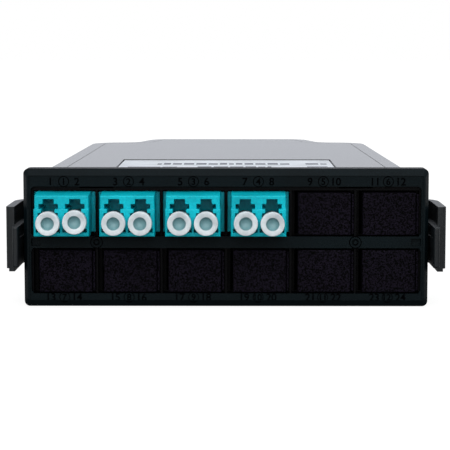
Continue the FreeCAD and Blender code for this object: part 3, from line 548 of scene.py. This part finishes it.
def pick_faces(piece: bpy.types.Object, test: Callable[[bpy.types.MeshPolygon], bool]) -> None:
    """Enters edit mode with the faces that pass a test selected.

    Args:
        piece: the piece.
        test: says whether a face is picked.
    """
    hold(piece)
    bpy.ops.object.mode_set(mode="EDIT")
    bpy.ops.mesh.select_mode(type="FACE")
    bpy.ops.mesh.select_all(action="DESELECT")
    bpy.ops.object.mode_set(mode="OBJECT")
    for face in piece.data.polygons:
        face.select = test(face)
    bpy.ops.object.mode_set(mode="EDIT")


def leave_edit() -> None:
    """Goes back to object mode."""
    bpy.ops.object.mode_set(mode="OBJECT")


def sink(steps: list[tuple[float, float]]) -> None:
    """Insets and pushes the picked face along Y, ring by ring, in edit mode.

    Args:
        steps: for each ring, how far it is inset and how far it then moves along +Y.
    """
    for inset, push in steps:
        if inset > 0:
            bpy.ops.mesh.inset(thickness=inset, depth=0)
        else:
            bpy.ops.mesh.extrude_region_move()
        bpy.ops.transform.translate(value=(0, push, 0))


def flatten(piece: bpy.types.Object) -> None:
    """Lets large faces shade flat up to the rounds beside them.

    Args:
        piece: the piece.
    """
    hold(piece)
    flats = piece.modifiers.new("flat_faces", "WEIGHTED_NORMAL")
    flats.weight = LARGEST_FACES
    flats.keep_sharp = True
    bpy.ops.object.modifier_apply(modifier=flats.name)


def round_edges(piece: bpy.types.Object, width: float, segments: int = 2) -> None:
    """Bevels the piece's sharp edges and smooths its shading.

    Args:
        piece: the piece.
        width: the bevel's width.
        segments: how many facets make the round.
    """
    hold(piece)
    bevel = piece.modifiers.new("soft_edges", "BEVEL")
    bevel.width = width
    bevel.segments = segments
    bevel.limit_method = "ANGLE"
    bevel.angle_limit = SHARP
    bevel.use_clamp_overlap = True
    bpy.ops.object.modifier_apply(modifier=bevel.name)
    bpy.ops.object.shade_smooth_by_angle(angle=SMOOTH)
    flatten(piece)


def copy_of(piece: bpy.types.Object, name: str, move: Vector) -> bpy.types.Object:
    """Copies a piece with its own mesh.

    Args:
        piece: the piece.
        name: the copy's name.
        move: how far the copy's mesh is moved.

    Returns:
        The copy.
    """
    twin = piece.copy()
    twin.data = piece.data.copy()
    bpy.context.scene.collection.objects.link(twin)
    twin.data.transform(Matrix.Translation(move))
    twin.name = name
    twin.data.name = name
    return twin


def joined(pieces: list[bpy.types.Object], name: str) -> bpy.types.Object:
    """Joins pieces into one.

    Args:
        pieces: the pieces.
        name: the joined piece's name.

    Returns:
        The joined piece.
    """
    hold(*pieces)
    bpy.ops.object.join()
    return settle(bpy.context.view_layer.objects.active, name)


def softened(node: str, width: float) -> bpy.types.Object:
    """Copies a CAD node as clean faces with small rounds on its sharp edges.

    Args:
        node: the CAD node.
        width: the rounds' width.

    Returns:
        The copy, which still has to be dressed.
    """
    source = frame["nodes"][node]
    piece = bpy.data.objects.new(f"{node}_soft", source.data.copy())
    bpy.context.scene.collection.objects.link(piece)
    hold(piece)
    bpy.ops.object.mode_set(mode="EDIT")
    bpy.ops.mesh.select_all(action="SELECT")
    bpy.ops.mesh.customdata_custom_splitnormals_clear()
    bpy.ops.mesh.remove_doubles(threshold=WELD)
    bpy.ops.mesh.dissolve_limited(angle_limit=COPLANAR)
    leave_edit()
    round_edges(piece, width)
    return piece


def finish_piece(piece: bpy.types.Object, material: bpy.types.Material, body: str,
                 stands_for: tuple[str, ...] = ()) -> None:
    """Dresses a piece, ties it to its body and reports it.

    Args:
        piece: the piece.
        material: its material.
        body: the body that it rides on.
        stands_for: the CAD nodes that it replaces.
    """
    piece.data.materials.clear()
    piece.data.materials.append(material)
    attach(piece, body)
    if stands_for:
        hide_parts(*stands_for)
    log.info("%s: %d faces on %s", piece.name, len(piece.data.polygons), body)


# ---------------------------------------------------------------- sub-assemblies


@dataclass
class CadParts:
    """Every CAD node that stays on show, with its slot's finish.

    Attributes:
        materials: the material of each slot.
        slots: the slot that each node came with.
    """

    materials: dict[Slot, bpy.types.Material] = field(default_factory=dict)
    slots: dict[str, Slot] = field(default_factory=dict)

    def mix(self) -> None:
        """Builds one material for each slot."""
        for finish in FINISHES:
            self.materials[finish.slot] = finish.make()

    def dress(self) -> None:
        """Puts each node's finish in its material slot."""
        for name, piece in frame["nodes"].items():
            self.slots[name] = Slot(piece.data.materials[0].name)
        for name, piece in frame["nodes"].items():
            piece.data.materials[0] = self.materials[self.slots[name]]
        log.info("%d CAD nodes dressed", len(self.slots))

    def finish_copy(self, piece: bpy.types.Object, node: str) -> None:
        """Finishes a piece in place of a node, with its slot and on its body.

        Args:
            piece: the piece.
            node: the CAD node that it stands for.
        """
        slot = self.slots[node]
        finish_piece(piece, self.materials[slot], frame["nodes"][node]["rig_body"], (node,))


@dataclass
class SoftEdges:
    """Moulded parts whose sharp edges get the small rounds that catch the light.

    Attributes:
        rounds: the round's width on each node, in millimetres.
        deep: how far behind the rim the bezel's walls take painted shade, in millimetres.
    """

    rounds: dict[str, float] = field(default_factory=lambda: {
        "front_bezel": 0.15, "latch_left": 0.18, "latch_right": 0.18, "top_cover": 0.03, "base_tray": 0.03,
        **{f"lc_adapter_{n}": 0.12 for n in range(1, 5)},
        **{f"blank_plug_{n}": 0.12 for n in range(5, 13)},
        "mpo_adapter": 0.12, "mpo_dust_cap": 0.2})
    deep: float = 1.3

    def mark_deep(self, bezel: bpy.types.Object) -> None:
        """Marks the walls inside the bezel's windows for painted shade, which makes them darker than its
        front.

        Args:
            bezel: the softened bezel.
        """
        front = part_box("front_bezel")[0].y
        marks = bezel.data.attributes.new(PAINTED_WALLS, "FLOAT", "CORNER")
        for face in bezel.data.polygons:
            # walls further back than deep get the painted shade
            value = 1.0 if (face.center.y - front) / MM > self.deep else 0.0
            for corner in face.loop_indices:
                marks.data[corner].value = value

    def build(self, parts: CadParts) -> None:
        """Makes a softened copy of each listed node and hides the node itself.

        Args:
            parts: the dressed CAD nodes.
        """
        for node, width in self.rounds.items():
            piece = softened(node, width * MM)
            if node == "front_bezel":
                self.mark_deep(piece)
            parts.finish_copy(piece, node)


@dataclass
class DustCaps:
    """Eight translucent white dust caps, modelled once and copied into their ports.

    Attributes:
        count: how many caps there are.
        sides: how many sides a cap has.
        lip: round on the head's edges.
        lip_facets: how many facets make that round.
        thick: thickness of the head.
        neck: radius and length of the neck behind the head.
        stem: radius of the stem that fills the port.
        tip: chamfer at the stem's end.
        dimple: radius of the hollow in the head.
        depth: depth of the hollow.
        step: width and depth of the small step round the hollow.
        rings: how many rings of faces make the hollow.
        last_turn: how much of the quarter turn the last ring makes, which leaves a small floor.
        least: the narrowest ring.
        wall: how deep the hollow's thin wall may lie, as a share of the head's thickness.
        see_through: how strongly the painted see-through tint of the port lies on the neck and stem.
        near: the spare when walls are told apart: behind the front face, round the hollow, behind the head.
        smooth: edges below this many degrees are shaded smooth.
        lean: how far some caps sit off the middle of their port, across and up.

    All sizes are in millimetres.
    """

    count: int = 8
    sides: int = 72
    lip: float = 0.16
    lip_facets: int = 4
    thick: float = 2.0
    neck: tuple[float, float] = (2.25, 2.6)
    stem: float = 2.15
    tip: float = 0.3
    dimple: float = 1.5
    depth: float = 1.15
    step: tuple[float, float] = (0.12, 0.05)
    rings: int = 8
    last_turn: float = 0.985
    least: float = 0.01
    wall: float = 0.9
    see_through: float = 0.75
    near: tuple[float, float, float] = (0.03, 0.05, 0.2)
    smooth: float = 50
    lean: dict[int, tuple[float, float]] = field(default_factory=lambda: {
        1: (0.12, -0.03), 2: (0.12, 0.30), 3: (0.05, 0.0), 7: (0.12, 0.02), 8: (0.12, -0.10)})

    def head(self) -> bpy.types.Object:
        """Models the first cap from its CAD node's box: a turned head, hollowed in front and stepped behind.

        Returns:
            The cap, whose copies go into the ports.
        """
        low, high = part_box("dust_cap_1")
        centre = (low + high) / 2
        radius = (high.x - low.x) / 2
        thick = self.thick * MM
        flat = radius - self.lip * MM
        cap = new_round("dust_cap_pattern", radius, Vector((centre.x, low.y, centre.z)), thick, self.sides)
        round_edges(cap, self.lip * MM, self.lip_facets)
        front = low.y + TOUCH
        pick_faces(cap, lambda face: face.normal.y < -FACING and face.center.y < front)
        bpy.ops.mesh.inset(thickness=flat - (self.dimple + self.step[0]) * MM, depth=0)
        sink(self.bowl())
        leave_edit()
        back = low.y + thick - TOUCH
        pick_faces(cap, lambda face: face.normal.y > FACING and face.center.y > back)
        neck_r, neck_l = (size * MM for size in self.neck)
        stem, tip = self.stem * MM, self.tip * MM
        bpy.ops.mesh.inset(thickness=flat - neck_r, depth=0)
        sink([(0, neck_l), (neck_r - stem, 0), (0, high.y - low.y - thick - neck_l - tip), (tip, tip)])
        leave_edit()
        self.mark_thin(cap, centre, low.y)
        hold(cap)
        bpy.ops.object.shade_smooth_by_angle(angle=math.radians(self.smooth))
        flatten(cap)
        return cap

    def bowl(self) -> list[tuple[float, float]]:
        """Rings of the round hollow: a small step, then a bowl that flattens towards its middle.

        Returns:
            Pairs of inset and push for each ring, in metres.
        """
        steps = [(self.step[0] * MM, self.step[1] * MM)]
        turns = [math.pi / 2 * n / self.rings for n in range(self.rings + 1)]
        for before, after in zip(turns, turns[1:-1] + [turns[-1] * self.last_turn]):
            across = self.dimple * (math.cos(before) - math.cos(after)) * MM
            down = self.depth * (math.sin(after) - math.sin(before)) * MM
            steps.append((max(across, self.least * MM), down))
        return steps

    def mark_thin(self, cap: bpy.types.Object, centre: Vector, front: float) -> None:
        """Marks the hollow, the neck and the stem for a painted see-through tint and shade, which stands in
        for the port showing through their thin walls.

        Args:
            cap: the cap.
            centre: the middle of its node's box.
            front: the place of its front face.
        """
        marks = cap.data.attributes.new(PAINTED_WALLS, "FLOAT", "POINT")
        before_hollow, round_hollow, behind_head = self.near
        for index, vertex in enumerate(cap.data.vertices):
            across = math.hypot(vertex.co.x - centre.x, vertex.co.z - centre.z) / MM
            along = (vertex.co.y - front) / MM
            in_depth = before_hollow < along < self.thick * self.wall
            in_hollow = in_depth and across < self.dimple + round_hollow
            behind = along > self.thick + behind_head
            # painted see-through: full in the hollow, partial on the neck and stem
            marks.data[index].value = self.see_through if behind else float(in_hollow)

    def build(self, parts: CadParts) -> None:
        """Copies the cap to every port and hides the CAD caps.

        Args:
            parts: the dressed CAD nodes.
        """
        pattern = self.head()
        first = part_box("dust_cap_1")[0]
        for number in range(1, self.count + 1):
            node = f"dust_cap_{number}"
            across, up = self.lean.get(number, (0.0, 0.0))
            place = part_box(node)[0] - first + Vector((across, 0, up)) * MM
            parts.finish_copy(copy_of(pattern, f"{node}_moulding", place), node)
        bpy.data.objects.remove(pattern)


@dataclass
class PortNumbers:
    """Plain port numbers above and below the windows, with the adapter's number in a ring between them, in a
    near-black painted shade that stands in for the shade inside the real engraved numbers and rings.

    Attributes:
        columns: how many windows a row has.
        height: height of a port number's digits.
        small: height of a ringed number's digits against that.
        top_row, bottom_row: height of each row's middle above the base.
        reach: distance from the column's middle to a port number.
        ring: radius of the ring.
        line: width of the ring's line.
        rise: how far the characters stand from the strip.
        strip: how far the strip lies behind the rim.
        digit_share: height of a digit against the size of its typeface.
        bold: how much wider its strokes are on each side.

    All sizes are in millimetres.
    """

    columns: int = 6
    height: float = 1.78
    small: float = 0.86
    top_row: float = 29.98
    bottom_row: float = 2.3
    reach: float = 3.15
    ring: float = 1.2
    line: float = 0.2
    rise: float = 0.04
    strip: float = 0.3
    digit_share: float = 0.70
    bold: float = 0.045

    def column_x(self, column: int) -> float:
        """Middle of a column of windows, from 0 at the left, in metres."""
        left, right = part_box("lc_adapter_1"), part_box("lc_adapter_2")
        return (left[0].x + left[1].x) / 2 + column * (right[0].x - left[0].x)

    def digit(self, text: str, place: Vector, height: float) -> bpy.types.Object:
        """Cuts one number.

        Args:
            text: the number.
            place: where its middle goes.
            height: the height of its digits in millimetres.

        Returns:
            The number as a mesh.
        """
        deselect()
        bpy.ops.object.text_add(rotation=(math.pi / 2, 0, 0))
        piece = bpy.context.active_object
        piece.data.body = text
        piece.data.size = height * MM / self.digit_share
        piece.data.extrude = self.rise * MM
        piece.data.offset = self.bold * MM
        piece.data.align_x = "CENTER"
        piece.data.align_y = "CENTER"
        piece.data.resolution_u = 4
        bpy.ops.object.convert(target="MESH")
        bpy.ops.object.transform_apply(location=True, rotation=True, scale=True)
        spots = [vertex.co for vertex in piece.data.vertices]
        middle = Vector([(min(s[i] for s in spots) + max(s[i] for s in spots)) / 2 for i in range(3)])
        piece.data.transform(Matrix.Translation(place - middle))
        return piece

    def build(self) -> None:
        """Makes both rows as one piece."""
        # the numbers' near-black colour is painted shade of the engraving
        ink = PAINTED_GROOVE_SHADE.make()
        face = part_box("front_bezel")[0].y + self.strip * MM
        pieces = []
        for row, z in enumerate((self.top_row, self.bottom_row)):
            for column in range(self.columns):
                middle = Vector((self.column_x(column), face, z * MM))
                adapter = self.columns * row + column + 1
                port = 2 * adapter - 1
                for text, shift, share in ((port, -self.reach, 1), (adapter, 0, self.small),
                                           (port + 1, self.reach, 1)):
                    place = middle + Vector((shift * MM, 0, 0))
                    pieces.append(self.digit(str(text), place, self.height * share))
                pieces.append(new_ring(middle, self.ring * MM, self.line * MM, self.rise * MM))
        finish_piece(joined(pieces, "port_numbers"), ink, HOUSING)


@dataclass
class PinRings:
    """Dark lines of painted shade round the two pins that hold the bezel, standing in for the shade in the
    gaps where their heads are set into the bar and in the rings on each head.

    Attributes:
        head: radius of a pin's head.
        radii: radius of each line.
        line: width of a line.
        rise: how far the lines stand from the heads.

    All sizes are in millimetres.
    """

    head: float = 1.25
    radii: tuple[float, ...] = (1.42, 0.62)
    line: float = 0.18
    rise: float = 0.03

    def build(self) -> None:
        """Cuts the lines and lays them on the bar."""
        rings = []
        low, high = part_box("bezel_pins")
        for x in (low.x + self.head * MM, high.x - self.head * MM):
            middle = Vector((x, low.y, (low.z + high.z) / 2))
            for radius in self.radii:
                rings.append(new_ring(middle, radius * MM, self.line * MM, self.rise * MM))
        # the rings are painted shade, not print
        finish_piece(joined(rings, "pin_gap_shade"), PAINTED_GROOVE_SHADE.make(), HOUSING)


@dataclass(frozen=True)
class Waver:
    """A share that changes from bar to bar, as the sizes of words do.

    Attributes:
        least: the smallest share.
        swing: how far it rises above that.
        per_bar, per_row: how fast it changes along a row and from row to row.
    """

    least: float
    swing: float
    per_bar: float
    per_row: float

    def at(self, bar: int, row: int) -> float:
        """Share for one bar of one row."""
        return self.least + self.swing * abs(math.sin(self.per_bar * bar + self.per_row * row))


@dataclass(frozen=True)
class BarRow:
    """One row of bars on the label, in millimetres.

    Attributes:
        start: its distance from the label's front edge.
        height: height of its tallest bar.
        left, right: where it starts and ends across the label.
        mean: the length that its bars are a share of.
    """

    start: float
    height: float
    left: float
    right: float
    mean: float


@dataclass
class LabelPrint:
    """Generic rows of grey bars on the bare label, where a real one carries print.

    Attributes:
        rows: the rows.
        gap: space between two bars, in millimetres.
        rise: thickness of the ink, in millimetres.
        lengths: a bar's length against its row's mean.
        heights: a bar's height against its row's.
        stub: a row ends where less than this share of its mean is left.
    """

    rows: tuple[BarRow, ...] = (
        BarRow(start=13.2, height=5.4, left=-17.2, right=16.0, mean=1.9),
        BarRow(start=4.0, height=3.0, left=-7.0, right=11.0, mean=2.6),
        BarRow(start=13.6, height=4.4, left=19.8, right=25.0, mean=3.0),
        BarRow(start=5.0, height=2.4, left=19.8, right=25.0, mean=5.0),
        BarRow(start=4.6, height=1.2, left=-24.0, right=-12.0, mean=6.0))
    gap: float = 0.55
    rise: float = 0.02
    lengths: Waver = Waver(least=0.55, swing=0.8, per_bar=2.7, per_row=1.9)
    heights: Waver = Waver(least=0.72, swing=0.28, per_bar=1.3, per_row=1.0)
    stub: float = 0.3

    def build(self) -> None:
        """Lays the bars just above the film."""
        low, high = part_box("label")
        corner = Vector(((low.x + high.x) / 2, low.y, high.z))
        bars = []
        for number, row in enumerate(self.rows):
            x = row.left
            bar = 0
            while x < row.right - self.stub * row.mean:
                end = min(x + row.mean * self.lengths.at(bar, number), row.right)
                tall = row.height * self.heights.at(bar, number)
                near = corner + Vector((x, row.start, 0)) * MM
                far = corner + Vector((end, row.start + tall, self.rise)) * MM
                bars.append(new_block("bar", near, far))
                x = end + self.gap
                bar += 1
        finish_piece(joined(bars, "label_bars"), LABEL_INK.make(), HOUSING)


# ---------------------------------------------------------------- studio


@dataclass(frozen=True)
class Lamp:
    """A square soft lamp.

    Attributes:
        name: its name.
        place: where it hangs, in metres.
        size: its side in metres.
        power: its power in watts.
    """

    name: str
    place: Point
    size: float
    power: float

    def hang(self, aim: Vector) -> None:
        """Hangs the lamp.

        Args:
            aim: where it points.
        """
        data = bpy.data.lights.new(self.name, "AREA")
        data.size = self.size
        data.energy = self.power
        piece = bpy.data.objects.new(self.name, data)
        bpy.context.scene.collection.objects.link(piece)
        piece.location = self.place
        piece.rotation_euler = (aim - Vector(self.place)).to_track_quat("-Z", "Y").to_euler()


@dataclass
class Studio:
    """A plain white floor and backdrop, two soft lamps in front and one above, and the camera.

    Attributes:
        distance: camera to the front rim, in metres.
        height: camera above the floor, in metres.
        aside: camera to the right of the middle, in metres.
        sensor: width of the camera's sensor in millimetres.
        lens: focal length in millimetres.
        pitch, yaw: how far the camera looks down and to the left, in degrees.
        aim: where the lamps point, in metres.
        lamps: the lamps.
        room: how bright the room is for what it lights.
        room_hue: colour of the room's light.
        gloss_hue: colour of the backdrop in the object's gloss.
        dark_end: how bright the room in front of the object looks in its gloss.
        sky_turn: lengthwise share of a direction where the backdrop begins in gloss and where it is full.
        floor_size: side of the floor in metres.
        floor_gap: how far the floor lies below the object, in metres.
        floor_turn: where the floor's white begins in gloss and where it is full, in millimetres.
        paper: how much light the floor gives back, and how much that varies.
        fibre: width of a blotch in the floor's paper, in millimetres.
        matt: roughness of the floor.
        glow: how white the floor is to the camera in the object's shadow.
        shadow: how far from the middle that shadow begins to fade and where it ends, in millimetres.
    """

    distance: float = 0.3974
    height: float = 0.0623
    aside: float = 0.00243
    sensor: float = 36
    lens: float = 134.62
    pitch: float = 6.123
    yaw: float = 0.38
    aim: Point = (0, -0.04, 0.015)
    lamps: tuple[Lamp, ...] = (
        Lamp("key", (-0.30, -1.45, 0.70), size=1.8, power=23),
        Lamp("fill", (0.9, -1.3, 0.6), size=1.2, power=6),
        Lamp("top", (0.1, 0.0, 1.5), size=1.6, power=11))
    room: float = 0.14
    room_hue: LinearColour = (0.95, 0.98, 1.0)
    gloss_hue: LinearColour = (0.90, 0.93, 1.0)
    dark_end: float = 0.08
    sky_turn: tuple[float, float] = (-0.2, 0.2)
    floor_size: float = 12
    floor_gap: float = 0.0002
    floor_turn: tuple[float, float] = (-60, 60)
    paper: tuple[float, float] = (0.16, 0.01)
    fibre: float = 40
    matt: float = 0.9
    glow: float = 0.92
    shadow: tuple[float, float] = (120, 500)

    def camera(self) -> None:
        """Sets the camera."""
        data = bpy.data.cameras.new("camera")
        data.lens = self.lens
        data.sensor_width = self.sensor
        data.dof.use_dof = False
        piece = bpy.data.objects.new("camera", data)
        bpy.context.scene.collection.objects.link(piece)
        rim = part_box("front_bezel")[0].y
        piece.location = (self.aside, rim - self.distance, self.height)
        piece.rotation_euler = (math.radians(90 - self.pitch), 0, math.radians(self.yaw))
        bpy.context.scene.camera = piece

    def seen(self, tree: bpy.types.NodeTree, lengthwise: Socket, source: tuple[float, float]) -> Socket:
        """How much of the white backdrop a ray sees.

        The camera sees all of it, and so does a ray through clear matter. Gloss sees less towards the front.

        Args:
            tree: the node tree to add to.
            lengthwise: a place or direction from front to back.
            source: where the backdrop begins and where it is full.

        Returns:
            A value from 0 to 1.
        """
        path = tree.nodes.new("ShaderNodeLightPath")
        fade = ranged(tree, lengthwise, source, (self.dark_end, 1))
        value = worked_out(tree, "MULTIPLY", path.outputs["Is Glossy Ray"], fade)
        for name in ("Is Camera Ray", "Is Transmission Ray"):
            value = worked_out(tree, "MAXIMUM", value, path.outputs[name])
        return value

    def floor(self) -> None:
        """Lays the floor: white paper to the camera, with only the object's shadow on it."""
        deselect()
        bpy.ops.mesh.primitive_plane_add(size=self.floor_size, location=(0, 0, -self.floor_gap))
        plane = bpy.context.active_object
        plane.name = "floor"
        box = Paintbox("floor_paper")
        grey, spread = self.paper
        speck = box.remap(box.noise(self.fibre, detail=3), grey - spread, grey + spread)
        box.link(speck, box.shader.inputs["Base Color"])
        place = box.millimetres.outputs["Vector"]
        spot = box.tree.nodes.new("ShaderNodeSeparateXYZ")
        box.link(place, spot.inputs["Vector"])
        away = box.tree.nodes.new("ShaderNodeVectorMath")
        away.operation = "LENGTH"
        box.link(place, away.inputs[0])
        white = self.seen(box.tree, spot.outputs["Y"], self.floor_turn)
        shade = box.remap(away.outputs["Value"], self.glow, 1, self.shadow)
        box.link(worked_out(box.tree, "MULTIPLY", white, shade), box.shader.inputs["Emission Strength"])
        box.shader.inputs["Emission Color"].default_value = WHITE
        box.shader.inputs["Roughness"].default_value = self.matt
        box.shader.inputs["Specular IOR Level"].default_value = 0.0
        plane.data.materials.append(box.material)

    def world(self) -> None:
        """Sets a dim room with a plain white backdrop."""
        world = bpy.data.worlds.new("studio")
        bpy.context.scene.world = world
        world.use_nodes = True
        tree = world.node_tree
        tree.nodes.clear()
        dim = tree.nodes.new("ShaderNodeBackground")
        dim.inputs["Color"].default_value = (*self.room_hue, 1)
        dim.inputs["Strength"].default_value = self.room
        white = tree.nodes.new("ShaderNodeBackground")
        white.inputs["Strength"].default_value = 1.0
        hue = tree.nodes.new("ShaderNodeMix")
        hue.data_type = "RGBA"
        hue.inputs["A"].default_value = (*self.gloss_hue, 1)
        hue.inputs["B"].default_value = WHITE
        look = tree.nodes.new("ShaderNodeLightPath")
        tree.links.new(look.outputs["Is Camera Ray"], hue.inputs["Factor"])
        tree.links.new(hue.outputs["Result"], white.inputs["Color"])
        where = tree.nodes.new("ShaderNodeTexCoord")
        split = tree.nodes.new("ShaderNodeSeparateXYZ")
        tree.links.new(where.outputs["Generated"], split.inputs["Vector"])
        pick = tree.nodes.new("ShaderNodeMixShader")
        tree.links.new(self.seen(tree, split.outputs["Y"], self.sky_turn), pick.inputs["Fac"])
        tree.links.new(dim.outputs["Background"], pick.inputs[1])
        tree.links.new(white.outputs["Background"], pick.inputs[2])
        out = tree.nodes.new("ShaderNodeOutputWorld")
        tree.links.new(pick.outputs["Shader"], out.inputs["Surface"])

    def build(self) -> None:
        """Builds the studio."""
        self.world()
        self.floor()
        for lamp in self.lamps:
            lamp.hang(Vector(self.aim))
        self.camera()
        bpy.context.scene.view_settings.view_transform = "Standard"
        log.info("studio built")


def main() -> None:
    """Builds the studio and dresses the cassette, piece by piece."""
    logging.basicConfig(level=logging.INFO, format="%(name)s: %(message)s")
    Studio().build()
    parts = CadParts()
    parts.mix()
    parts.dress()
    SoftEdges().build(parts)
    DustCaps().build(parts)
    PortNumbers().build()
    PinRings().build()
    LabelPrint().build()


if __name__ == "__main__":
    main()
